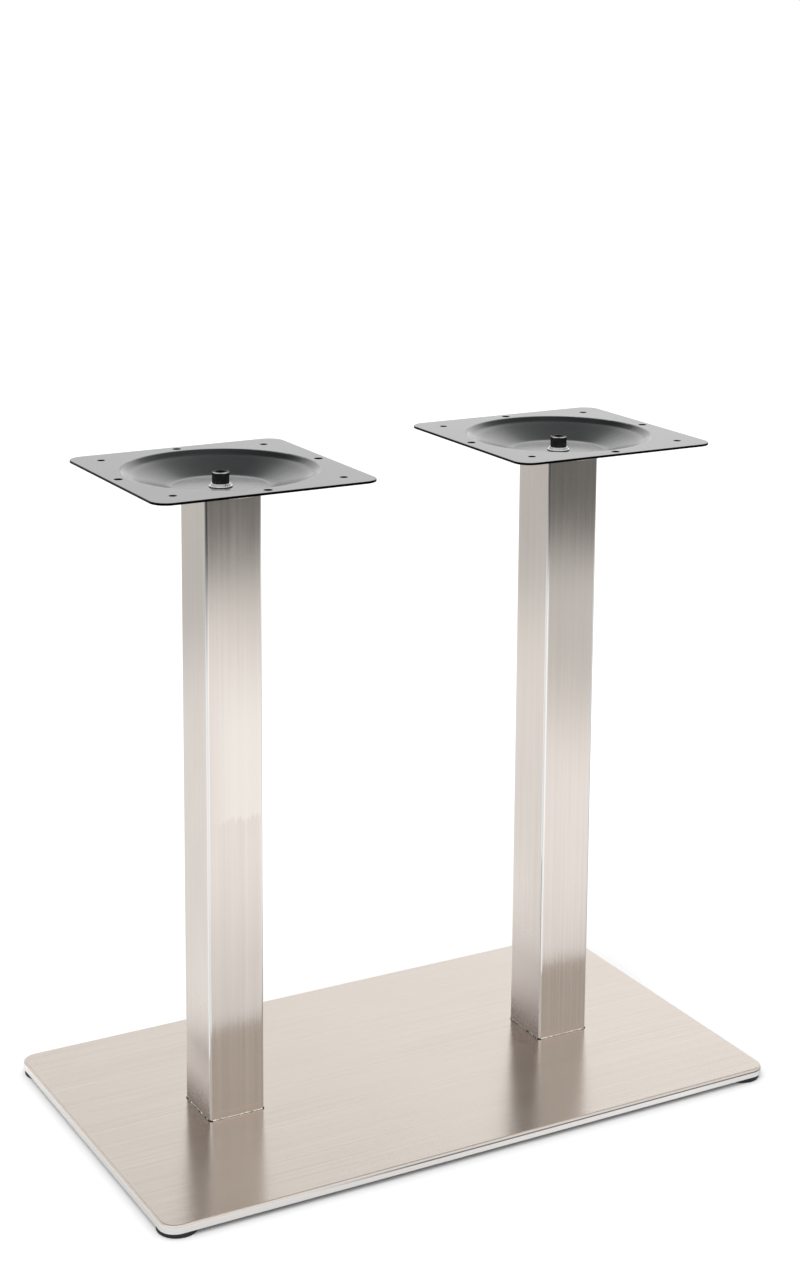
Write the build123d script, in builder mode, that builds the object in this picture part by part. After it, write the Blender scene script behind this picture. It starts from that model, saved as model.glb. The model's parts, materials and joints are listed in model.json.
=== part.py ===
import os
from math import atan2, tan

from build123d import *

# A table base: one flat weighted base, two square columns and a pressed mounting plate on each column.
# Millimetres. +Z is up, the origin is on the floor under the middle of the base, +X runs along its long side.

os.makedirs("parts", exist_ok=True)

# Overall
overall_height = 720.0

# Base cover, a pressed sheet pan
base_length = 735.0
base_width = 420.0
base_corner_radius = 18.0
base_top_height = 14.5
skirt_height = 9.0
cover_sheet = 1.2
cover_bend_radius = 1.3

# Ballast plate inside the cover
ballast_thickness = 7.0
ballast_side_gap = 0.5

# Columns, square tubes with a plate and a nut welded in at each end
column_spacing = 415.0
column_width = 64.0
column_wall = 1.5
tube_bend_radius = 1.2
end_plate_thickness = 6.0
end_plate_gap = 0.1
nut_across_flats = 18.0
nut_height = 10.0

# Top plates, pressed with a round dish
plate_side = 248.0
plate_sheet = 2.5
plate_corner_radius = 18.0
plate_edge_round = 0.6
dish_depth = 18.5
dish_floor_radius = 52.5
dish_floor_bend = 14.0
dish_rim_inset = 21.0
dish_rim_bend = 5.0
dish_shoulder_inset = 7.0
dish_shoulder_drop = 4.5
dish_shoulder_bend = 10.0
dish_land = 2.0
corner_hole_inset = 29.5
corner_hole_radius = 3.5
side_hole_inset = 10.5
side_hole_radius = 4.0

# Large screws, plain where the thread is
screw_radius = 6.0
screw_length = 25.0
thread_clearance = 0.1
screw_hole_clearance = 0.5
cap_head_radius = 9.0
cap_head_height = 12.0
cap_head_chamfer = 0.8
cap_socket_across_flats = 10.0
cap_socket_depth = 6.0
countersunk_head_radius = 12.0
countersunk_socket_across_flats = 8.0
countersunk_socket_depth = 4.0
countersink_clearance = 0.3

# Washers under the cap screws
flat_washer_radius = 12.5
flat_washer_thickness = 1.5
spring_washer_radius = 10.6
spring_washer_thickness = 2.2
spring_washer_gap = 2.0
spring_washer_gap_angle = 35.0
washer_edge_round = 0.5

# Glides and their screws
glide_radius = 21.6
glide_inset = 21.8
glide_neck_gap = 1.1
glide_skirt_gap = 0.3
glide_edge_round = 1.2
glide_screw_radius = 2.5
glide_screw_length = 10.0
glide_head_radius = 5.0
glide_head_recess = 1.4
glide_socket_across_flats = 3.0
glide_socket_depth = 2.0
glide_thread_spare = 0.8

# Places worked out from the sizes above
column_places = {"left": -column_spacing / 2, "right": column_spacing / 2}
cover_underside = base_top_height - cover_sheet
ballast_underside = cover_underside - ballast_thickness
skirt_foot = base_top_height - skirt_height
dish_floor_height = overall_height - dish_depth
column_top = dish_floor_height - plate_sheet
column_length = column_top - base_top_height
screw_hole_radius = screw_radius + screw_hole_clearance
nut_bore_radius = screw_radius + thread_clearance
spring_washer_height = dish_floor_height + flat_washer_thickness
cap_head_height_from = spring_washer_height + spring_washer_thickness
glide_neck_radius = min(glide_radius, glide_inset - cover_sheet) - glide_neck_gap
glide_x = base_length / 2 - glide_inset
glide_y = base_width / 2 - glide_inset
glide_places = {
    "front_left": (-glide_x, -glide_y),
    "front_right": (glide_x, -glide_y),
    "back_left": (-glide_x, glide_y),
    "back_right": (glide_x, glide_y),
}


def facing_down(x, y, z):
    return Plane(origin=(x, y, z), x_dir=(1, 0, 0), z_dir=(0, 0, -1))


def upright_section(x, y, z):
    return Plane(origin=(x, y, z), x_dir=(1, 0, 0), z_dir=(0, -1, 0))


def save(piece, name):
    piece.part.label = name
    export_step(piece.part, f"parts/{name}.step")


# Base cover: flat top, rolled edge and skirt in one sheet, open below
with BuildPart() as base_cover:
    with BuildSketch(Plane.XY.offset(skirt_foot)):
        RectangleRounded(base_length, base_width, base_corner_radius)
    extrude(amount=skirt_height)
    fillet(base_cover.faces().sort_by(Axis.Z)[-1].edges(), cover_bend_radius + cover_sheet)
    offset(amount=-cover_sheet, openings=base_cover.faces().sort_by(Axis.Z)[0])
    with Locations([(x, 0, base_top_height) for x in column_places.values()]):
        Hole(screw_hole_radius, depth=2 * cover_sheet)
save(base_cover, "base_cover")

# Ballast plate: its upper edge is bevelled to clear the bend of the cover
ballast_inset = cover_sheet + ballast_side_gap
with BuildPart() as ballast_plate:
    with BuildSketch(Plane.XY.offset(ballast_underside)):
        RectangleRounded(
            base_length - 2 * ballast_inset,
            base_width - 2 * ballast_inset,
            base_corner_radius - ballast_inset,
        )
    extrude(amount=ballast_thickness)
    chamfer(ballast_plate.faces().sort_by(Axis.Z)[-1].edges(), cover_bend_radius)
    with Locations([facing_down(x, 0, ballast_underside) for x in column_places.values()]):
        CounterSinkHole(
            screw_hole_radius,
            countersunk_head_radius + countersink_clearance,
            depth=ballast_thickness,
        )
    with Locations([facing_down(x, y, ballast_underside) for x, y in glide_places.values()]):
        Hole(
            glide_screw_radius + thread_clearance,
            depth=glide_screw_length + glide_head_recess + glide_thread_spare - ballast_underside,
        )
save(ballast_plate, "ballast_plate")


def column_tube(x):
    bore = column_width - 2 * column_wall
    with BuildPart() as tube:
        with BuildSketch(Plane(origin=(x, 0, base_top_height))):
            RectangleRounded(column_width, column_width, tube_bend_radius + column_wall)
            RectangleRounded(bore, bore, tube_bend_radius, mode=Mode.SUBTRACT)
        extrude(amount=column_length)
    return tube


def column_end_plate(x, z):
    side = column_width - 2 * column_wall - 2 * end_plate_gap
    with BuildPart() as plate:
        with BuildSketch(Plane(origin=(x, 0, z))):
            RectangleRounded(side, side, tube_bend_radius)
            Circle(screw_hole_radius, mode=Mode.SUBTRACT)
        extrude(amount=end_plate_thickness)
    return plate


# Pressed top plate: a flat square with a dish turned from one sheet section, and eight fixing holes
dish_rim_radius = plate_side / 2 - dish_rim_inset
dish_rim_angle = atan2(dish_shoulder_drop, dish_shoulder_inset)
dish_edge_radius = dish_rim_radius + dish_rim_bend * tan(dish_rim_angle / 2) + dish_land
corner_hole_spacing = plate_side - 2 * corner_hole_inset
side_hole_circle_radius = plate_side / 2 - side_hole_inset


def top_plate(x):
    top = Plane(origin=(x, 0, overall_height))
    with BuildPart() as plate:
        with BuildSketch(top):
            RectangleRounded(plate_side, plate_side, plate_corner_radius)
            Circle(dish_edge_radius, mode=Mode.SUBTRACT)
        extrude(amount=-plate_sheet)
        rim_edges = plate.faces().sort_by(Axis.Z)[-1].outer_wire().edges()
        fillet(rim_edges, plate_edge_round)
        with BuildSketch(upright_section(x, 0, overall_height)):
            with BuildLine():
                upper_side = FilletPolyline(
                    (screw_hole_radius, -dish_depth),
                    (dish_floor_radius, -dish_depth),
                    (dish_rim_radius - dish_shoulder_inset, -dish_shoulder_drop),
                    (dish_rim_radius, 0),
                    (dish_edge_radius, 0),
                    radius=[dish_floor_bend, dish_shoulder_bend, dish_rim_bend],
                )
                offset(upper_side, amount=plate_sheet, side=Side.RIGHT)
            make_face()
        revolve(axis=Axis((x, 0, 0), (0, 0, 1)))
        with BuildSketch(top):
            with GridLocations(corner_hole_spacing, corner_hole_spacing, 2, 2):
                Circle(corner_hole_radius)
            with PolarLocations(side_hole_circle_radius, 4):
                Circle(side_hole_radius)
        extrude(amount=-plate_sheet, mode=Mode.SUBTRACT)
    return plate


for side, column_x in column_places.items():
    save(column_tube(column_x), f"{side}_column_tube")
    save(column_end_plate(column_x, base_top_height), f"{side}_column_foot_end_plate")
    save(column_end_plate(column_x, column_top - end_plate_thickness), f"{side}_column_top_end_plate")
    save(top_plate(column_x), f"{side}_top_plate")

# Nuts welded behind the end plates, at the foot and at the top of both columns
nut_heights = (
    base_top_height + end_plate_thickness,
    column_top - end_plate_thickness - nut_height,
)
with BuildPart() as column_weld_nuts:
    for nut_z in nut_heights:
        with BuildSketch(Plane.XY.offset(nut_z)):
            with Locations([(x, 0) for x in column_places.values()]):
                RegularPolygon(nut_across_flats / 2, 6, major_radius=False)
                Circle(nut_bore_radius, mode=Mode.SUBTRACT)
        extrude(amount=nut_height)
save(column_weld_nuts, "column_weld_nuts")

# Socket-head cap screws at the middle of the dishes
with BuildPart() as top_screws:
    cap_head_top = Plane.XY.offset(cap_head_height_from + cap_head_height)
    with BuildSketch(Plane.XY.offset(cap_head_height_from)):
        with Locations([(x, 0) for x in column_places.values()]):
            Circle(cap_head_radius)
    extrude(amount=cap_head_height)
    chamfer(top_screws.edges().group_by(Axis.Z)[-1], cap_head_chamfer)
    with BuildSketch(cap_head_top):
        with Locations([(x, 0) for x in column_places.values()]):
            RegularPolygon(cap_socket_across_flats / 2, 6, major_radius=False)
    extrude(amount=-cap_socket_depth, mode=Mode.SUBTRACT)
    with BuildSketch(Plane.XY.offset(cap_head_height_from)):
        with Locations([(x, 0) for x in column_places.values()]):
            Circle(screw_radius)
    extrude(amount=-screw_length)
save(top_screws, "top_screws")

# Split spring washers, pressed flat under the screw heads
spring_washer_band = spring_washer_radius - screw_hole_radius
spring_washer_middle = screw_hole_radius + spring_washer_band / 2
with BuildPart() as spring_washers:
    with BuildSketch(Plane.XY.offset(spring_washer_height)):
        with Locations([(x, 0) for x in column_places.values()]):
            Circle(spring_washer_radius)
            Circle(screw_hole_radius, mode=Mode.SUBTRACT)
        with Locations([(x, -spring_washer_middle) for x in column_places.values()]):
            Rectangle(
                spring_washer_gap,
                2 * spring_washer_band,
                rotation=spring_washer_gap_angle,
                mode=Mode.SUBTRACT,
            )
    extrude(amount=spring_washer_thickness)
    round_edges = spring_washers.edges().filter_by(GeomType.CIRCLE)
    fillet(round_edges.filter_by(lambda edge: edge.radius > spring_washer_middle), washer_edge_round)
save(spring_washers, "spring_washers")

# Flat washers on the dish floors
flat_washer_middle = (screw_hole_radius + flat_washer_radius) / 2
with BuildPart() as flat_washers:
    with BuildSketch(Plane.XY.offset(dish_floor_height)):
        with Locations([(x, 0) for x in column_places.values()]):
            Circle(flat_washer_radius)
            Circle(screw_hole_radius, mode=Mode.SUBTRACT)
    extrude(amount=flat_washer_thickness)
    upper_edges = flat_washers.edges().group_by(Axis.Z)[-1]
    fillet(upper_edges.filter_by(lambda edge: edge.radius > flat_washer_middle), washer_edge_round)
save(flat_washers, "flat_washers")

# Countersunk screws that hold the columns, flush with the underside of the ballast plate
countersunk_head_height = countersunk_head_radius - screw_radius
with BuildPart() as base_screws:
    for column_x in column_places.values():
        with BuildSketch(upright_section(column_x, 0, ballast_underside)):
            with BuildLine():
                Polyline(
                    (0, 0),
                    (countersunk_head_radius, 0),
                    (screw_radius, countersunk_head_height),
                    (screw_radius, screw_length),
                    (0, screw_length),
                    close=True,
                )
            make_face()
        revolve(axis=Axis((column_x, 0, 0), (0, 0, 1)))
    with BuildSketch(Plane.XY.offset(ballast_underside)):
        with Locations([(x, 0) for x in column_places.values()]):
            RegularPolygon(countersunk_socket_across_flats / 2, 6, major_radius=False)
    extrude(amount=countersunk_socket_depth, mode=Mode.SUBTRACT)
save(base_screws, "base_screws")

# Round glides: the ballast plate stands on their necks, and each has a deep countersink for its screw
for corner, (corner_x, corner_y) in glide_places.items():
    with BuildPart() as glide:
        with BuildSketch(Plane(origin=(corner_x, corner_y, 0))):
            Circle(glide_radius)
        extrude(amount=skirt_foot - glide_skirt_gap)
        with BuildSketch(Plane(origin=(corner_x, corner_y, 0))):
            Circle(glide_neck_radius)
        extrude(amount=ballast_underside)
        fillet(glide.edges().group_by(Axis.Z)[0], glide_edge_round)
        with Locations(facing_down(corner_x, corner_y, 0)):
            CounterSinkHole(
                glide_screw_radius + thread_clearance,
                glide_head_radius + glide_head_recess + countersink_clearance,
                depth=ballast_underside,
            )
    save(glide, f"{corner}_glide")

# Countersunk glide screws, their heads kept clear of the floor
glide_head_height = glide_head_radius - glide_screw_radius
with BuildPart() as glide_screws:
    for corner_x, corner_y in glide_places.values():
        with BuildSketch(upright_section(corner_x, corner_y, glide_head_recess)):
            with BuildLine():
                Polyline(
                    (0, 0),
                    (glide_head_radius, 0),
                    (glide_screw_radius, glide_head_height),
                    (glide_screw_radius, glide_screw_length),
                    (0, glide_screw_length),
                    close=True,
                )
            make_face()
        revolve(axis=Axis((corner_x, corner_y, 0), (0, 0, 1)))
    with BuildSketch(Plane.XY.offset(glide_head_recess)):
        with Locations(list(glide_places.values())):
            RegularPolygon(glide_socket_across_flats / 2, 6, major_radius=False)
    extrude(amount=glide_socket_depth, mode=Mode.SUBTRACT)
save(glide_screws, "glide_screws")
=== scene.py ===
import json
import math

import bmesh
import bpy
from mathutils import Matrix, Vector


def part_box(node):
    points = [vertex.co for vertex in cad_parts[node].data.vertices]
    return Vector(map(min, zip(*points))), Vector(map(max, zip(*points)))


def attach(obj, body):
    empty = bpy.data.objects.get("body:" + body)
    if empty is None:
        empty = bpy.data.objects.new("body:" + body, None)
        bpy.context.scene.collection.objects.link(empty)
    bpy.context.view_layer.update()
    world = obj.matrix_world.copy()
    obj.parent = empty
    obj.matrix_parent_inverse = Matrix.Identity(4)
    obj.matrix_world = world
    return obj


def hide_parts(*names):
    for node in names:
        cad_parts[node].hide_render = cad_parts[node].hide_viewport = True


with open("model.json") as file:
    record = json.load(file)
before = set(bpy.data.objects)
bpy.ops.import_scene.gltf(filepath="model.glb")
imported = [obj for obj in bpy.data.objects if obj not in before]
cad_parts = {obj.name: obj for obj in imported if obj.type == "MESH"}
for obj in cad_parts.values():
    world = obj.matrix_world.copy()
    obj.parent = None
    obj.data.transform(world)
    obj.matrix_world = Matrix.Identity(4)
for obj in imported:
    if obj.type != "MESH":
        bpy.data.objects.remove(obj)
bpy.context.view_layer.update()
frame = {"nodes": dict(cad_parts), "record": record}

nodes = frame["nodes"]
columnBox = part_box("right_column_tube")
columnX = (columnBox[0].x + columnBox[1].x) / 2  # the columns stand at plus and minus this
columnHalf = (columnBox[1].x - columnBox[0].x) / 2
baseTop = columnBox[0].z
print("frame loaded with", len(nodes), "nodes")


class Wire:  # a socket in a node tree: operators on it add Math nodes
    def __init__(self, tree, socket=None):
        self.tree, self.socket = tree, socket

    def node(self, kind, settings=None, inputs=None, out=0):
        made = self.tree.nodes.new(kind)
        for key, value in (settings or {}).items():
            if key == "stops":  # a ramp's places and greys
                greys = made.color_ramp
                while len(greys.elements) < len(value):
                    greys.elements.new(0.5)
                for element, (place, level) in zip(greys.elements, value):
                    element.position, element.color = place, grey(level)
            else:
                setattr(made, key, value)
        for key, value in (inputs or {}).items():
            for part in value if isinstance(value, list) else [value]:
                if isinstance(part, Wire):
                    self.tree.links.new(part.socket, made.inputs[key])
                else:
                    made.inputs[key].default_value = part
        return Wire(self.tree, made.outputs[out]) if made.outputs else made

    def also(self, out):  # another output of the same node
        return Wire(self.tree, self.socket.node.outputs[out])

    def maths(self, operation, *values):
        return self.node("ShaderNodeMath", {"operation": operation}, dict(enumerate(values)))

    def __add__(self, other): return self.maths("ADD", self, other)
    def __radd__(self, other): return self.maths("ADD", other, self)
    def __sub__(self, other): return self.maths("SUBTRACT", self, other)
    def __rsub__(self, other): return self.maths("SUBTRACT", other, self)
    def __mul__(self, other): return self.maths("MULTIPLY", self, other)
    def __rmul__(self, other): return self.maths("MULTIPLY", other, self)
    def __truediv__(self, other): return self.maths("DIVIDE", self, other)
    def __rtruediv__(self, other): return self.maths("DIVIDE", other, self)
    def __gt__(self, other): return self.maths("GREATER_THAN", self, other)
    def __lt__(self, other): return self.maths("LESS_THAN", self, other)
    def __abs__(self): return self.maths("ABSOLUTE", self)


def grey(level):
    return (level, level, level, 1)


def smoothStep(value, low, high, start=0.0, end=1.0):
    names = {"Value": value, "From Min": low, "From Max": high, "To Min": start, "To Max": end}
    return value.node("ShaderNodeMapRange", {"interpolation_type": "SMOOTHSTEP"}, names)


def fadeOut(value, low, high):
    return smoothStep(value, low, high, 1.0, 0.0)


def ramp(value, stops):
    return value.node("ShaderNodeSeparateXYZ", None, {
        0: value.node("ShaderNodeValToRGB", {"stops": stops}, {0: value}),
    })


def mixColour(fac, first, second):
    names = {0: fac, 6: first, 7: second}
    return fac.node("ShaderNodeMix", {"data_type": "RGBA"}, names, out=2)


def vectorMaths(wire, operation, *values, out=0):
    names = dict(enumerate(values))
    return wire.node("ShaderNodeVectorMath", {"operation": operation}, names, out)


def scaled(wire, vector, factor):
    return wire.node("ShaderNodeVectorMath", {"operation": "SCALE"}, {0: vector, "Scale": factor})


def axes(wire, vector):
    split = wire.node("ShaderNodeSeparateXYZ", None, {0: vector})
    return split, split.also(1), split.also(2)


def upward(wire, height):
    return wire.node("ShaderNodeCombineXYZ", None, {2: height})


def facingUp(wire):  # 1 on level faces that look up, 0 on upright ones
    return axes(wire, wire.node("ShaderNodeNewGeometry", out="Normal"))[2]


def fromScrewAxis(wire, x, y):  # level distance from the nearer column's axis
    across = abs(x) - columnX
    return wire.maths("SQRT", across * across + y * y)


def newMaterial(name, shader="ShaderNodeBsdfPrincipled"):
    made = bpy.data.materials.new(name)
    made.use_nodes = True
    made.node_tree.nodes.clear()
    wire = Wire(made.node_tree)
    surface = wire.node(shader)
    wire.node("ShaderNodeOutputMaterial", None, {"Surface": surface})
    return made, wire, surface.socket.node


def give(shader, inputs):  # values and links of a shader node that is already there
    for key, value in inputs.items():
        if isinstance(value, Wire):
            value.tree.links.new(value.socket, shader.inputs[key])
        else:
            shader.inputs[key].default_value = value


def stretched(wire, place, scales, detail, roughness):  # noise with its own scale along each axis
    names = {"Vector": vectorMaths(wire, "MULTIPLY", place, scales), "Scale": 1.0}
    names.update({"Detail": detail, "Roughness": roughness})
    return wire.node("ShaderNodeTexNoise", None, names)


# Brushed stainless: fine grain leans the normal across the brushing, so reflections smear that way
def brushedSteel(name, spec, marks):
    made, wire, shader = newMaterial(name)
    place = wire.node("ShaderNodeTexCoord", out="Object")
    fine = stretched(wire, place, spec["fineGrain"], detail=2.0, roughness=0.7)
    streak = stretched(wire, place, spec["streaks"], detail=3.0, roughness=0.65)
    haze = stretched(wire, place, spec["haze"], detail=4.0, roughness=0.55)
    shade = (streak - 0.5) * spec["streakDepth"] + (haze - 0.5) * spec["hazeDepth"] + 0.5
    steel = mixColour(shade, spec["dark"], spec["pale"])
    rough = (streak - 0.5) * spec["roughSpread"] + (haze - 0.5) * spec["hazeRough"]
    rough = rough + spec["roughness"]
    normal = wire.node("ShaderNodeNewGeometry", out="Normal")
    across = vectorMaths(wire, "CROSS_PRODUCT", normal, spec["along"])
    tilt = (fine - 0.5) * spec["grainTilt"] + (streak - 0.5) * spec["streakTilt"]
    bent = vectorMaths(wire, "ADD", normal, scaled(wire, across, tilt))
    steel, rough, metal, lean = marks(wire, place, steel, rough, spec)
    if lean:
        bent = vectorMaths(wire, "ADD", bent, upward(wire, lean))
    bent = vectorMaths(wire, "NORMALIZE", bent)
    give(shader, {"Base Color": steel, "Metallic": metal, "Roughness": rough, "Normal": bent})
    return made


# Base: brushed along its long side, with a polished skirt under a rolled edge, the skirt also
# painted paler as a painted highlight
baseFinish = {
    "dark": (0.73, 0.649, 0.581, 1), "pale": (0.95, 0.864, 0.794, 1),
    "fineGrain": (2, 16000, 16000), "streaks": (0.4, 400, 400), "haze": (5, 11, 11),
    "streakDepth": 0.5, "hazeDepth": 0.55,
    "roughness": 0.19, "roughSpread": 0.05, "hazeRough": 0.1,
    "along": (1, 0, 0), "grainTilt": 0.5, "streakTilt": 0.003,
    "speckCells": 15.0, "speckSize": 0.011, "speckShare": 0.7,
    "speckDepth": 0.8, "speckColour": (0.3, 0.26, 0.23, 1),
    "skirtTop": baseTop - 0.0017, "skirtFade": 0.0008,
    # the skirt is painted nearly white, a painted highlight besides its polish
    "skirtPolish": 0.08, "skirtColour": (0.99, 0.965, 0.94, 1),
    "rollTop": baseTop - 0.0001, "rollHaze": 0.5,
    # a painted dark reflection line along the rolled edge
    "creaseHeight": baseTop - 0.0028, "creaseWidth": 0.0014, "creaseColour": (0.1, 0.095, 0.1, 1),
    "creaseFrom": -0.24, "creaseFull": -0.06,  # the painted dark reflection line comes in between these, along the base
}


def baseMarks(wire, place, steel, rough, spec):  # dark specks, the skirt painted paler as a painted highlight, and a painted dark reflection line
    flat = vectorMaths(wire, "MULTIPLY", place, (spec["speckCells"], spec["speckCells"], 0))
    cells = wire.node("ShaderNodeTexVoronoi", None, {"Vector": flat, "Scale": 1.0})
    chosen = axes(wire, cells.also("Color"))[0] > spec["speckShare"]
    speck = fadeOut(cells, spec["speckSize"] / 2, spec["speckSize"]) * chosen
    steel = mixColour(speck * spec["speckDepth"], steel, spec["speckColour"])
    x, _, height = axes(wire, place)
    skirt = fadeOut(height, spec["skirtTop"] - spec["skirtFade"], spec["skirtTop"])
    # painted highlight: the skirt is painted nearly white, besides its polish
    steel = mixColour(skirt, steel, spec["skirtColour"])
    # painted reflection: a dark line under the rolled edge, coming in along the base
    darkReflection = fadeOut(abs(height - spec["creaseHeight"]), 0.0, spec["creaseWidth"])
    darkReflection = darkReflection * smoothStep(x, spec["creaseFrom"], spec["creaseFull"])
    steel = mixColour(darkReflection, steel, spec["creaseColour"])
    roll = (height < spec["rollTop"]) * (1.0 - skirt) * spec["rollHaze"]
    return steel, rough - skirt * spec["skirtPolish"], 1.0 - roll, None


# Columns: brushed upright. Heights of the marks at the foot are above the base
columnFinish = {
    "dark": (0.67, 0.61, 0.555, 1), "pale": (0.95, 0.88, 0.82, 1),
    "fineGrain": (14000, 14000, 3), "streaks": (330, 330, 1.2), "haze": (22, 22, 7),
    "streakDepth": 0.6, "hazeDepth": 0.4,
    "roughness": 0.14, "roughSpread": 0.06, "hazeRough": 0.1,
    "along": (0, 0, 1), "grainTilt": 0.55, "streakTilt": 0.008,
    # the corners are polished and also painted paler, a painted highlight
    "edgeWidth": 0.0025, "edgeColour": (1.0, 0.985, 0.97, 1), "edgePolish": 0.08,
    "jag": (700, 700, 25),  # uneven edge of the paler band, and patches along the weld
    # a paler band on the left column, between two heights
    "lapFoot": 0.347, "lapEnd": 0.003, "lapJag": 0.022, "lapTop": 0.56, "lapFade": 0.12,
    "lapDepth": 0.5, "lapColour": (0.97, 0.92, 0.86, 1),
    "sideSkin": 0.0002,  # how near to the outer and inner faces counts as on them
    # painted reflection: the side faces near the foot are tinted pinkish like the base they mirror,
    # and made duller
    "hazeFoot": 0.02, "hazeTop": 0.1, "hazeMatt": 0.12,
    "hazeTint": 0.7, "hazeColour": (0.8, 0.68, 0.62, 1),
    "weldLine": 0.008, "weldLineWidth": 0.0007, "weldLineDepth": 0.7, "weldLineRough": 0.1,
    "weldFootDepth": 0.35, "weldTopDepth": 0.15, "weldTint": (0.95, 0.80, 0.64, 1),
    # a painted highlight on patches of the weld bead, which are painted near white and matt
    "beadTop": 0.0011, "beadMatt": 0.9, "beadColour": (0.98, 0.96, 0.93, 1),
    "beadPatches": (-0.15, 0.1, 0.35, 1.0), "barePatches": (0.02, 0.06),
    # painted shadow: the foot's lowest line, and the bead on the side faces and corners, are
    # painted near black
    "gapTop": 0.0003, "gapColour": (0.03, 0.028, 0.03, 1),
    "flareTop": 0.18,  # below this the sides lean and are rubbed dull
    "leftFlare": [(0.0, 0.38), (0.25, 0.31), (0.42, 0.13), (0.6, 0.1), (0.83, 0.0)],
    "rightFlare": [(0.0, 0.3), (0.28, 0.25), (0.55, 0.17), (0.75, 0.1), (1.0, 0.0)],
    "rubbed": [(0.0, 0.12), (0.5, 0.2), (1.0, 0.0)],
    "settle": -0.03, "settleFull": 0.1, "settleTop": 0.2,  # the left column's front leans a little
}


def columnMarks(wire, place, steel, rough, spec):  # corners with a painted highlight, a paler band, a weld tint, and painted reflection, highlight and shadow at the foot
    x, y, z = axes(wire, place)
    left, right = x < 0.0, x > 0.0
    fromAxis = abs(abs(x) - columnX)
    limit = columnHalf - spec["edgeWidth"]
    corner = (fromAxis > limit) * (abs(y) > limit)
    # painted highlight: the corners are painted paler, besides their polish
    steel = mixColour(corner, steel, spec["edgeColour"])
    rough = rough - corner * spec["edgePolish"]

    jag = stretched(wire, place, spec["jag"], detail=2.0, roughness=0.6) - 0.5
    # a paler band on the left column, its lower edge uneven
    paleBand = smoothStep(z + jag * spec["lapJag"], spec["lapFoot"], spec["lapFoot"] + spec["lapEnd"])
    paleBand = paleBand * fadeOut(z, spec["lapTop"] - spec["lapFade"], spec["lapTop"]) * left
    paleBand = paleBand * smoothStep(x, -columnX - columnHalf, -columnX) * spec["lapDepth"]
    steel = mixColour(paleBand, steel, spec["lapColour"])

    height = z - baseTop
    side = fromAxis > columnHalf - spec["sideSkin"]
    # painted reflection: the side faces near the foot are tinted pinkish like the base they mirror,
    # and made duller
    pinkReflection = side * fadeOut(height, spec["hazeFoot"], spec["hazeTop"])
    steel = mixColour(pinkReflection * spec["hazeTint"], steel, spec["hazeColour"])

    fromLine = abs(height - spec["weldLine"])
    line = smoothStep(fromLine, 0.0, spec["weldLineWidth"], spec["weldLineDepth"], 0.0)
    below = smoothStep(height, 0.0, spec["weldLine"], spec["weldFootDepth"], spec["weldTopDepth"])
    below = below * (height < spec["weldLine"])
    steel = mixColour(wire.maths("MAXIMUM", line, below), steel, spec["weldTint"])
    foot = height < spec["beadTop"]
    # painted highlight: patches of the weld bead are painted near white and matt
    bead = foot * smoothStep(jag, *spec["beadPatches"])
    footShadow = (fromAxis > abs(y)) * fadeOut(jag, *spec["barePatches"])
    footShadow = wire.maths("MAXIMUM", footShadow, corner)
    steel = mixColour(bead, steel, spec["beadColour"])
    # painted shadow: the bead on the side faces and corners is painted near black, and so is the
    # lowest line of the foot
    steel = mixColour(foot * footShadow, steel, spec["gapColour"])
    steel = mixColour(height < spec["gapTop"], steel, spec["gapColour"])

    upFlare = height / spec["flareTop"]
    flare = ramp(upFlare, spec["leftFlare"]) * left + ramp(upFlare, spec["rightFlare"]) * right
    settle = smoothStep(height, spec["settleFull"], spec["settleTop"], spec["settle"], 0.0)
    settle = settle * (1.0 - side) * left
    rough = rough + line * spec["weldLineRough"] + side * ramp(upFlare, spec["rubbed"])
    matt = wire.maths("MAXIMUM", pinkReflection * spec["hazeMatt"], bead * spec["beadMatt"])
    return steel, rough, 1.0 - matt, side * flare + settle


baseSteel = brushedSteel("base_stainless", baseFinish, baseMarks)
columnSteel = brushedSteel("column_stainless", columnFinish, columnMarks)


# Satin black coat of the pressed plates
coatFinish = {
    "dark": (0.0095, 0.0112, 0.012, 1), "pale": (0.015, 0.017, 0.018, 1),
    "cloud": 16.0, "cloudRange": (0.35, 0.65), "peel": 950.0, "peelHeight": 0.000004,
    "roughness": 0.2, "roughSpread": 0.1, "coatRoughness": 0.16, "ior": 1.5,
    "edge": (0.004, 0.004, 0.0045, 1), "edgeFrom": 0.108,  # cut edges and hole walls, dark partly as their own finish and partly as painted shade
    "edgeFacing": 0.6, "edgeRough": 0.3,
    "drawnFrom": 0.057, "drawnFromFade": 0.003,  # the drawn wall of the dish is duller
    "drawnTop": 0.09, "drawnTopFade": 0.005, "drawnMatt": 0.35,
    "floorSheen": (0.075, 0.075, 0.076, 1), "floorSheenRadius": 0.054, "floorSheenFade": 0.004,  # the dish floor painted paler, a painted reflection
    "holeShadowRims": [  # painted shadow rings round the holes: place in one quarter of the plate, and radius
        ((0.0945, 0.0945, 0.0), 0.0043),
        ((0.1135, 0.0, 0.0), 0.0047),
        ((0.0, 0.1135, 0.0), 0.0047),
    ],
}


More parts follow.
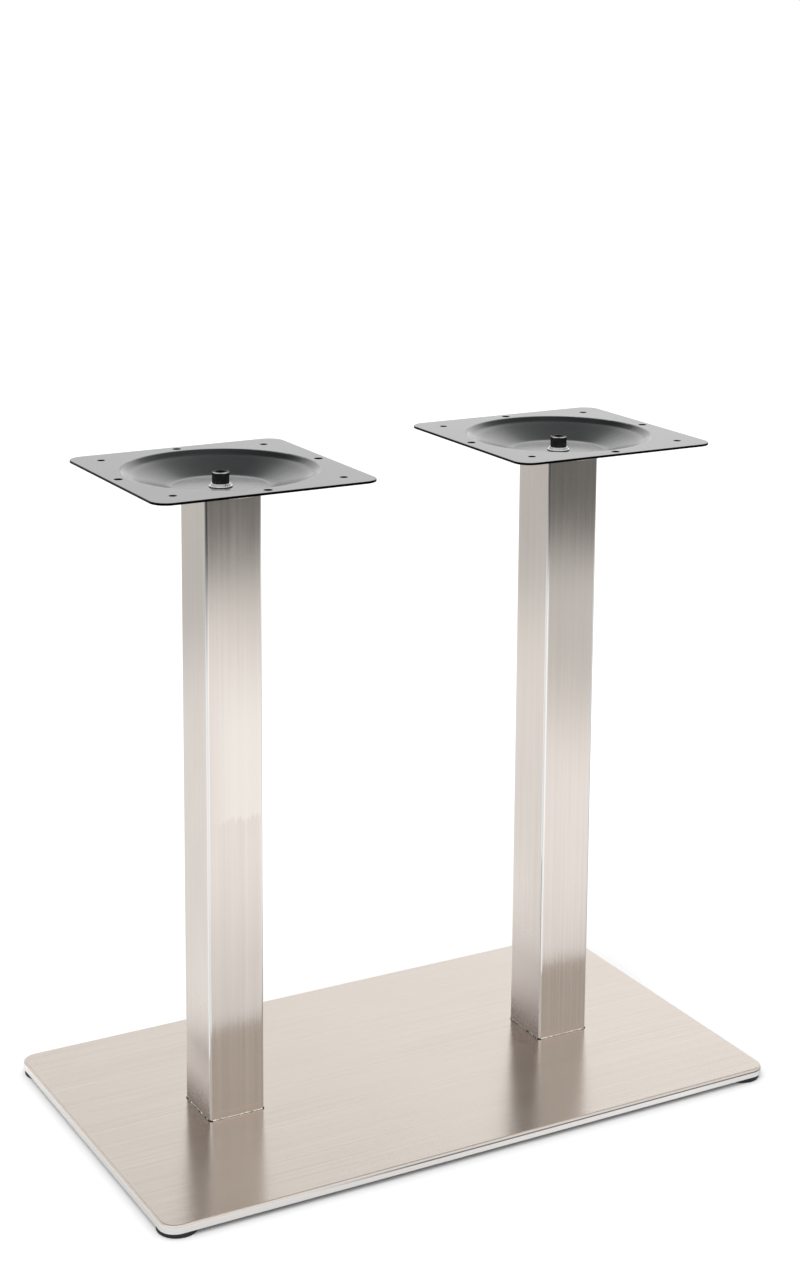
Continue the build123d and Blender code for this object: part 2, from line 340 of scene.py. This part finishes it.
def blackCoat(spec):
    made, wire, shader = newMaterial("black_coat")
    place = wire.node("ShaderNodeTexCoord", out="Object")
    peel = stretched(wire, place, (spec["peel"],) * 3, detail=2.0, roughness=0.5)
    cloud = stretched(wire, place, (spec["cloud"],) * 3, detail=4.0, roughness=0.6)
    colour = mixColour(smoothStep(cloud, *spec["cloudRange"]), spec["dark"], spec["pale"])
    x, y, _ = axes(wire, place)
    fromScrew = fromScrewAxis(wire, x, y)
    # dark edges and hole walls, partly their own finish and partly painted shade, and painted
    # shadow rings round the holes
    edge = (abs(facingUp(wire)) < spec["edgeFacing"]) * (fromScrew > spec["edgeFrom"])
    quarter = wire.node("ShaderNodeCombineXYZ", None, {0: abs(abs(x) - columnX), 1: abs(y)})
    for middle, radius in spec["holeShadowRims"]:
        fromHole = vectorMaths(wire, "DISTANCE", quarter, middle, out="Value")
        edge = wire.maths("MAXIMUM", edge, fromHole < radius)
    near, far = spec["drawnFromFade"], spec["drawnTopFade"]
    drawn = smoothStep(fromScrew, spec["drawnFrom"] - near, spec["drawnFrom"] + near)
    drawn = drawn * fadeOut(fromScrew, spec["drawnTop"] - far, spec["drawnTop"] + far)
    # painted reflection: the dish floor is painted paler
    sheenMask = fadeOut(fromScrew, spec["floorSheenRadius"] - spec["floorSheenFade"], spec["floorSheenRadius"])
    colour = mixColour(sheenMask, colour, spec["floorSheen"])
    rough = (cloud - 0.5) * spec["roughSpread"] + spec["roughness"]
    bump = {"Strength": 1.0, "Distance": spec["peelHeight"], "Height": peel}
    give(shader, {
        "Base Color": mixColour(edge, colour, spec["edge"]), "Metallic": edge, "IOR": spec["ior"],
        "Roughness": rough + edge * spec["edgeRough"],
        "Coat Weight": 1.0 - wire.maths("MAXIMUM", edge, drawn * spec["drawnMatt"]),
        "Coat Roughness": spec["coatRoughness"], "Coat IOR": spec["ior"],
        "Normal": wire.node("ShaderNodeBump", None, bump),
    })
    return made


plateCoat = blackCoat(coatFinish)


# Fasteners, glides and hidden pieces: a cloudy colour and a fine even grain
plainCloud = {"cloudRange": (0.3, 0.7), "roughSpread": 0.15}


def plainFinish(name, spec):
    made, wire, shader = newMaterial(name)
    place = wire.node("ShaderNodeTexCoord", out="Object")
    grain = stretched(wire, place, (spec["grain"],) * 3, detail=3.0, roughness=0.6)
    cloud = stretched(wire, place, (spec["cloud"],) * 3, detail=3.0, roughness=0.6)
    colour = mixColour(smoothStep(cloud, *plainCloud["cloudRange"]), spec["dark"], spec["pale"])
    spread = plainCloud["roughSpread"]
    rough = (grain - 0.5) * spread + (cloud - 0.5) * spread + spec["roughness"]
    metal = spec["metal"]
    if "worn" in spec:  # bare metal shows on the upper rim of the screw heads
        x, y, z = axes(wire, place)
        facing = facingUp(wire)
        metal = (z > spec["wornFrom"]) * (facing > spec["wornFacing"])
        metal = metal * (fromScrewAxis(wire, x, y) > spec["wornRadius"])
        metal = metal * smoothStep(grain, *spec["wornPatches"])
        colour = mixColour(metal, colour, spec["worn"])
        rough = rough + (facing > spec["lidFacing"]) * spec["lidRough"]
    if "shade" in spec:  # painted shadow in the joint under the washers
        z = axes(wire, place)[2]
        jointShadow = (z > spec["shadeFrom"]) * (z < spec["shadeTop"])
        colour = mixColour(jointShadow, colour, spec["shade"])
    bump = {"Strength": 1.0, "Distance": spec["grainHeight"], "Height": grain}
    give(shader, {
        "Base Color": colour, "Metallic": metal, "Roughness": rough,
        "Normal": wire.node("ShaderNodeBump", None, bump),
    })
    return made


zincFinish = {
    "dark": (0.82, 0.83, 0.84, 1), "pale": (0.97, 0.975, 0.98, 1), "metal": 0.55,
    "grain": 1600.0, "grainHeight": 0.000005, "cloud": 120.0, "roughness": 0.12,
    # a painted shadow band at the foot of the washers
    "shade": (0.03, 0.03, 0.032, 1), "shadeFrom": 0.7, "shadeTop": 0.7023,
}
oxideFinish = {
    "dark": (0.006, 0.006, 0.007, 1), "pale": (0.014, 0.014, 0.016, 1), "metal": 0.0,
    "grain": 1400.0, "grainHeight": 0.000006, "cloud": 150.0, "roughness": 0.24,
    "worn": (0.95, 0.95, 0.96, 1), "wornFrom": 0.71, "wornRadius": 0.0079,
    "wornFacing": 0.3, "wornPatches": (0.3, 0.6, 0.5, 1.0), "lidFacing": 0.9, "lidRough": 0.35,
}
millFinish = {
    "dark": (0.30, 0.295, 0.29, 1), "pale": (0.46, 0.45, 0.44, 1), "metal": 1.0,
    "grain": 900.0, "grainHeight": 0.00003, "cloud": 45.0, "roughness": 0.42,
}
ballastFinish = {
    "dark": (0.035, 0.035, 0.038, 1), "pale": (0.062, 0.062, 0.066, 1), "metal": 0.0,
    "grain": 420.0, "grainHeight": 0.0001, "cloud": 18.0, "roughness": 0.6,
}
glideFinish = {
    "dark": (0.006, 0.006, 0.007, 1), "pale": (0.014, 0.014, 0.015, 1), "metal": 0.0,
    "grain": 1300.0, "grainHeight": 0.00005, "cloud": 90.0, "roughness": 0.55,
}
finishes = {
    "base_stainless": baseSteel, "column_stainless": columnSteel, "black_coat": plateCoat,
    "bright_zinc": plainFinish("bright_zinc", zincFinish),
    "black_oxide": plainFinish("black_oxide", oxideFinish),
    "plain_steel": plainFinish("plain_steel", millFinish),
    "ballast_paint": plainFinish("ballast_paint", ballastFinish),
    "glide_plastic": plainFinish("glide_plastic", glideFinish),
}
for row in frame["record"]["subparts"]:
    nodes[row["node"]].material_slots[0].material = finishes[row["material_slot"]]
print("finishes made:", len(finishes))


# Pieces grown by Geometry Nodes: sizes go in as named inputs, a plain mesh comes out
growing = {"mergeDistance": 1e-6, "sharpAngle": 28.0}


def grow(name, sizes, build, slot):
    tree = bpy.data.node_groups.new(name, "GeometryNodeTree")
    for key, value in sizes.items():
        kind = "NodeSocketInt" if isinstance(value, int) else "NodeSocketFloat"
        tree.interface.new_socket(key, in_out="INPUT", socket_type=kind)
    tree.interface.new_socket("finish", in_out="INPUT", socket_type="NodeSocketMaterial")
    tree.interface.new_socket("Geometry", in_out="OUTPUT", socket_type="NodeSocketGeometry")
    wire = Wire(tree)
    entry = wire.node("NodeGroupInput")
    shape = build(wire, {key: entry.also(key) for key in sizes})
    shape = wire.node("GeometryNodeRealizeInstances", None, {0: shape})
    shape = wire.node("GeometryNodeSetMaterial", None, {0: shape, "Material": entry.also("finish")})
    wire.node("NodeGroupOutput", None, {0: shape})
    piece = bpy.data.objects.new(name, bpy.data.meshes.new(name))
    bpy.context.scene.collection.objects.link(piece)
    grower = piece.modifiers.new("grow", "NODES")
    grower.node_group = tree
    for item in tree.interface.items_tree:
        if item.in_out == "INPUT":
            grower[item.identifier] = sizes.get(item.name, finishes[slot])
    ready = piece.evaluated_get(bpy.context.evaluated_depsgraph_get())
    mesh = bpy.data.meshes.new_from_object(ready)
    piece.modifiers.clear()
    piece.data = mesh
    shell = bmesh.new()
    shell.from_mesh(mesh)
    bmesh.ops.remove_doubles(shell, verts=shell.verts, dist=growing["mergeDistance"])
    bmesh.ops.recalc_face_normals(shell, faces=shell.faces)
    shell.to_mesh(mesh)
    shell.free()
    mesh.shade_smooth()
    mesh.set_sharp_from_angle(angle=math.radians(growing["sharpAngle"]))
    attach(piece, "root")
    print("grown", name, "with", len(mesh.polygons), "faces")
    return piece


def lifted(wire, shape, height):
    names = {0: shape, "Translation": upward(wire, height)}
    return wire.node("GeometryNodeTransform", None, names)


def wall(wire, outline, height):  # an upright wall on a closed outline
    edges = wire.node("GeometryNodeCurveToMesh", None, {0: outline})
    names = {0: edges, "Offset": upward(wire, height)}
    return wire.node("GeometryNodeExtrudeMesh", {"mode": "EDGES"}, names)


def lid(wire, outlines, height):
    joined = wire.node("GeometryNodeJoinGeometry", None, {0: outlines})
    return lifted(wire, wire.node("GeometryNodeFillCurve", None, {0: joined}), height)


def ring(wire, radius, count):
    names = {"Resolution": count, "Radius": radius}
    return wire.node("GeometryNodeCurvePrimitiveCircle", None, names)


def atBothColumns(wire, shape, height):
    start = wire.node("ShaderNodeCombineXYZ", None, {0: -columnX, 2: height})
    names = {"Count": 2, "Start Location": start, "Offset": (2 * columnX, 0, 0)}
    points = wire.node("GeometryNodeMeshLine", None, names)
    return wire.node("GeometryNodeInstanceOnPoints", None, {0: points, "Instance": shape})


# Cap screws with knurled heads, hexagon sockets and real threads
capScrew = {
    "headRadius": 0.009, "headHeight": 0.012, "headChamfer": 0.0009,
    "knurlCount": 42, "knurlDepth": 0.0004,
    "socketRadius": 0.010 / math.sqrt(3), "socketDepth": 0.006, "socketSides": 6,
    "coreRadius": 0.0051, "coreSides": 24, "shankLength": 0.025,
    "threadDepth": 0.0009, "threadTurns": 13.0, "threadSides": 4,
    "threadShare": 0.93, "threadStart": 0.97,  # shares of the shank's length
}
capScrew["underHead"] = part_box("top_screws")[1].z - capScrew["headHeight"]


def buildCapScrews(wire, size):
    rim = (size["headRadius"] - size["headChamfer"]) / size["headRadius"]
    star = {"Points": size["knurlCount"], "Outer Radius": size["headRadius"]}
    star["Inner Radius"] = size["headRadius"] - size["knurlDepth"]
    knurl = wire.node("GeometryNodeCurveStar", None, star)
    shoulder = size["headHeight"] - size["headChamfer"]
    narrow = wire.node("ShaderNodeCombineXYZ", None, {0: rim, 1: rim, 2: 1.0})
    brim = wire.node("GeometryNodeTransform", None, {0: knurl, "Scale": narrow})
    socket = ring(wire, size["socketRadius"], size["socketSides"])
    core = ring(wire, size["coreRadius"], size["coreSides"])
    side = wall(wire, knurl, shoulder)
    slope = {0: side, "Selection": side.also("Top"), "Offset": upward(wire, size["headChamfer"])}
    chamfer = wire.node("GeometryNodeExtrudeMesh", {"mode": "EDGES"}, slope)
    inward = vectorMaths(wire, "MULTIPLY", wire.node("GeometryNodeInputPosition"), (1, 1, 0))
    pull = {0: chamfer, "Selection": chamfer.also("Top"), "Offset": scaled(wire, inward, rim - 1.0)}
    head = wire.node("GeometryNodeSetPosition", None, pull)
    socketFloor = size["headHeight"] - size["socketDepth"]
    shankEnd = 0.0 - size["shankLength"]
    helix = {"Resolution": size["coreSides"], "Rotations": size["threadTurns"]}
    helix.update({"Start Radius": size["coreRadius"], "End Radius": size["coreRadius"]})
    helix["Height"] = size["shankLength"] * size["threadShare"]
    helix = wire.node("GeometryNodeCurveSpiral", None, helix)
    profile = ring(wire, size["threadDepth"], size["threadSides"])
    thread = {0: helix, 1: profile, "Fill Caps": True}
    thread = wire.node("GeometryNodeCurveToMesh", None, thread)
    parts = [
        head, lid(wire, [brim, socket], size["headHeight"]),
        lifted(wire, wall(wire, socket, size["socketDepth"]), socketFloor),
        lid(wire, [socket], socketFloor), lid(wire, [knurl, core], 0.0),
        wall(wire, core, shankEnd), lid(wire, [core], shankEnd),
        lifted(wire, thread, shankEnd * size["threadStart"]),
    ]
    screw = wire.node("GeometryNodeJoinGeometry", None, {0: parts})
    return atBothColumns(wire, screw, size["underHead"])


capScrews = grow("cap_screws", capScrew, buildCapScrews, "black_oxide")
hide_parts("top_screws")


# Fine bead of weld where each column meets the base
footBead = {
    "columnSide": 2 * columnHalf, "cornerRadius": 0.0027, "cornerCount": 6, "spacing": 0.0012,
    "beadRadius": 0.0010, "beadSides": 10, "beadHeight": baseTop + 0.0002,
    "unevenness": 0.0006, "lumpScale": 320.0,
}


def buildFootBeads(wire, size):
    outline = {"Width": size["columnSide"], "Height": size["columnSide"]}
    path = wire.node("GeometryNodeCurvePrimitiveQuadrilateral", None, outline)
    bend = {0: path, "Count": size["cornerCount"], "Radius": size["cornerRadius"]}
    path = wire.node("GeometryNodeFilletCurve", {"mode": "POLY"}, bend)
    spacing = {0: path, "Length": size["spacing"]}
    path = wire.node("GeometryNodeResampleCurve", {"mode": "LENGTH"}, spacing)
    profile = ring(wire, size["beadRadius"], size["beadSides"])
    bead = wire.node("GeometryNodeCurveToMesh", None, {0: path, 1: profile})
    place = wire.node("GeometryNodeInputPosition")
    lump = {"Vector": place, "Scale": size["lumpScale"], "Detail": 2.0}
    lump = wire.node("ShaderNodeTexNoise", None, lump, out="Color")
    lump = vectorMaths(wire, "SUBTRACT", lump, (0.5, 0.5, 0.5))
    uneven = {0: bead, "Offset": scaled(wire, lump, size["unevenness"])}
    bead = wire.node("GeometryNodeSetPosition", None, uneven)
    return atBothColumns(wire, bead, size["beadHeight"])


grow("foot_beads", footBead, buildFootBeads, "column_stainless")


# Studio: a pale floor and a soft sky, both graded for mirrored rays, and one soft lamp
studio = {
    "toTheBack": (0.4838, 0.8752, 0.0), "toTheRight": (0.8752, -0.4838, 0.0),  # level directions
    "lampLevel": 0.8, "lampAngle": 50.0, "lampTurn": (42.0, 0.0, -52.0),
    "skyLevel": 1.0, "sideBlend": (-0.35, 0.25), "frontBlend": (-0.35, 0.0),
    "leftHeights": [  # heights go from level to overhead
        (0.0, 1.0), (0.4, 1.0), (0.46, 0.97), (0.53, 0.84), (0.58, 0.46), (0.63, 0.3),
        (0.75, 0.1), (0.83, 0.1), (1.0, 0.15),
    ],
    "rightHeights": [
        (0.0, 1.0), (0.4, 1.0), (0.46, 0.95), (0.53, 0.82), (0.58, 0.46), (0.68, 0.35),
        (0.75, 0.31), (0.83, 0.24), (1.0, 0.18),
    ],
    "frontHeights": [(0.0, 0.0), (0.55, 0.0), (0.7, 0.9), (0.9, 0.9), (1.0, 0.2)],
    "lowHeights": [(0.0, 0.15), (0.1, 0.15), (0.3, 1.0), (1.0, 1.0)],  # not at the back
    "skyAround": [  # once round from the front, by the left, the back and the right
        (0.0, 0.6), (0.17, 0.7), (0.34, 0.34), (0.42, 0.8), (0.47, 0.9), (0.52, 1.0),
        (0.57, 1.0), (0.67, 0.3), (0.84, 0.62), (1.0, 0.6),
    ],
    "lowAround": [(0.0, 1.0), (0.38, 1.0), (0.45, 0.0), (0.55, 0.0), (0.62, 1.0), (1.0, 1.0)],
    "floorRadius": 14.0, "floorSides": 96, "floorMirrored": 0.94,
    "poolPlace": (-0.18, -0.3, 0.0), "poolStretch": (0.6, 1.0, 0.0), "poolRadius": 4.0,
    "poolFade": [  # the floor darkens away from the pool of light
        (0.0, 0.74), (0.05, 0.78), (0.09, 0.84), (0.12, 0.88), (0.22, 0.88), (0.32, 0.91),
        (0.375, 0.9), (0.425, 0.81), (0.4625, 0.63), (0.5, 0.41), (0.53, 0.25), (0.56, 0.15),
        (0.6, 0.128), (0.9, 0.128),
    ],
    "poolAround": [
        (0.0, 1.0), (0.17, 1.0), (0.34, 0.38), (0.45, 0.0), (0.55, 0.0), (0.67, 0.6),
        (0.8, 1.0), (1.0, 1.0),
    ],
    "leftFade": [  # the far floor is darker on the left
        (0.0, 1.0), (0.1, 0.95), (0.15, 0.87), (0.3, 0.85), (0.45, 0.8), (0.565, 0.45),
        (0.635, 0.3), (0.725, 0.17), (1.0, 0.17),
    ],
    "leftAround": [(0.0, 1.0), (0.22, 1.0), (0.28, 0.0), (0.93, 0.0), (1.0, 1.0)],
    "flagAround": [  # two darker sectors of the floor
        (0.0, 1.0), (0.25, 1.0), (0.31, 0.8), (0.37, 0.8), (0.43, 1.0), (0.56, 1.0),
        (0.64, 0.35), (0.7, 0.35), (0.78, 1.0), (1.0, 1.0),
    ],
    "patchPlace": (1.1, -1.42, 0.0), "patchRadius": 0.75, "patchDepth": 0.42,  # at the right
}


def aroundObject(wire, vector, spec):  # half a turn is straight behind, more is to the right
    level = vectorMaths(wire, "MULTIPLY", vector, (1, 1, 0))
    behind = vectorMaths(wire, "DOT_PRODUCT", level, spec["toTheBack"], out="Value")
    right = vectorMaths(wire, "DOT_PRODUCT", level, spec["toTheRight"], out="Value")
    return wire.maths("ARCTAN2", right, behind) / (2 * math.pi) + 0.5, right, behind


def evenColour(wire, level):
    return wire.node("ShaderNodeCombineXYZ", None, {0: level, 1: level, 2: level})


def studioSky(spec):
    world = bpy.data.worlds.new("studio_sky")
    world.use_nodes = True
    world.node_tree.nodes.clear()
    wire = Wire(world.node_tree)
    toward = wire.node("ShaderNodeTexCoord", out="Generated")
    around, right, behind = aroundObject(wire, toward, spec)
    height = axes(wire, toward)[2]
    leftLevel, rightLevel = ramp(height, spec["leftHeights"]), ramp(height, spec["rightHeights"])
    level = leftLevel + (rightLevel - leftLevel) * smoothStep(right, *spec["sideBlend"])
    level = level * ramp(around, spec["skyAround"])
    low = 1.0 - ramp(height, spec["lowHeights"])
    level = level * (1.0 - ramp(around, spec["lowAround"]) * low)
    front = fadeOut(behind, *spec["frontBlend"]) * ramp(height, spec["frontHeights"])
    level = level + (1.0 - level) * front
    path = wire.node("ShaderNodeLightPath", out="Is Glossy Ray")
    colour = mixColour(path, grey(spec["skyLevel"]), evenColour(wire, level))
    colour = mixColour(path.also("Is Camera Ray"), colour, grey(1.0))
    sky = wire.node("ShaderNodeBackground", None, {"Color": colour, "Strength": 1.0})
    wire.node("ShaderNodeOutputWorld", None, {"Surface": sky})
    world.cycles.sampling_method = "NONE"  # because the sky differs by kind of ray
    bpy.context.scene.world = world


def studioFloor(spec):
    names = {"vertices": spec["floorSides"], "radius": spec["floorRadius"], "fill_type": "NGON"}
    bpy.ops.mesh.primitive_circle_add(**names)
    floor = bpy.context.object
    floor.name = "studio_floor"
    made, wire, shader = newMaterial("studio_floor", "ShaderNodeBsdfDiffuse")
    place = wire.node("ShaderNodeTexCoord", out="Object")
    around = aroundObject(wire, place, spec)[0]
    squeezed = vectorMaths(wire, "MULTIPLY", place, spec["poolStretch"])
    fromPool = vectorMaths(wire, "DISTANCE", squeezed, spec["poolPlace"], out="Value")
    pool = ramp(fromPool / spec["poolRadius"], spec["poolFade"])
    level = 1.0 - ramp(around, spec["poolAround"]) * (1.0 - pool)
    fromMiddle = vectorMaths(wire, "LENGTH", place, out="Value")
    leftSide = 1.0 - ramp(fromMiddle / spec["poolRadius"], spec["leftFade"])
    level = level * (1.0 - ramp(around, spec["leftAround"]) * leftSide)
    fromPatch = vectorMaths(wire, "DISTANCE", place, spec["patchPlace"], out="Value")
    patch = smoothStep(fromPatch, 0.0, spec["patchRadius"], 1.0 - spec["patchDepth"], 1.0)
    level = level * patch * ramp(around, spec["flagAround"]) * spec["floorMirrored"]
    glossy = wire.node("ShaderNodeLightPath", out="Is Glossy Ray")
    give(shader, {"Color": evenColour(wire, 1.0 - glossy * (1.0 - level))})
    floor.data.materials.append(made)


def studioLamp(spec):
    lamp = bpy.data.lights.new("studio_lamp", "SUN")
    lamp.energy = spec["lampLevel"]
    lamp.angle = math.radians(spec["lampAngle"])
    holder = bpy.data.objects.new("studio_lamp", lamp)
    holder.rotation_euler = [math.radians(turn) for turn in spec["lampTurn"]]
    holder.visible_glossy = False
    bpy.context.scene.collection.objects.link(holder)


studioSky(studio)
studioFloor(studio)
studioLamp(studio)
print("studio made")


# Camera at the photograph's viewing angle
photoView = {
    "place": (-1.18279, -2.14759, 1.22385), "turn": (79.807, -0.383, -28.858),
    "lens": 65.97, "sensor": 36.0, "shiftUp": -0.19,
}
camera = bpy.data.cameras.new("photo_camera")
camera.lens, camera.shift_y = photoView["lens"], photoView["shiftUp"]
camera.sensor_fit, camera.sensor_width = "AUTO", photoView["sensor"]
viewer = bpy.data.objects.new("photo_camera", camera)
viewer.location = photoView["place"]
viewer.rotation_euler = [math.radians(turn) for turn in photoView["turn"]]
bpy.context.scene.collection.objects.link(viewer)
bpy.context.scene.camera = viewer
bpy.context.scene.view_settings.view_transform = "Standard"
print("camera placed")
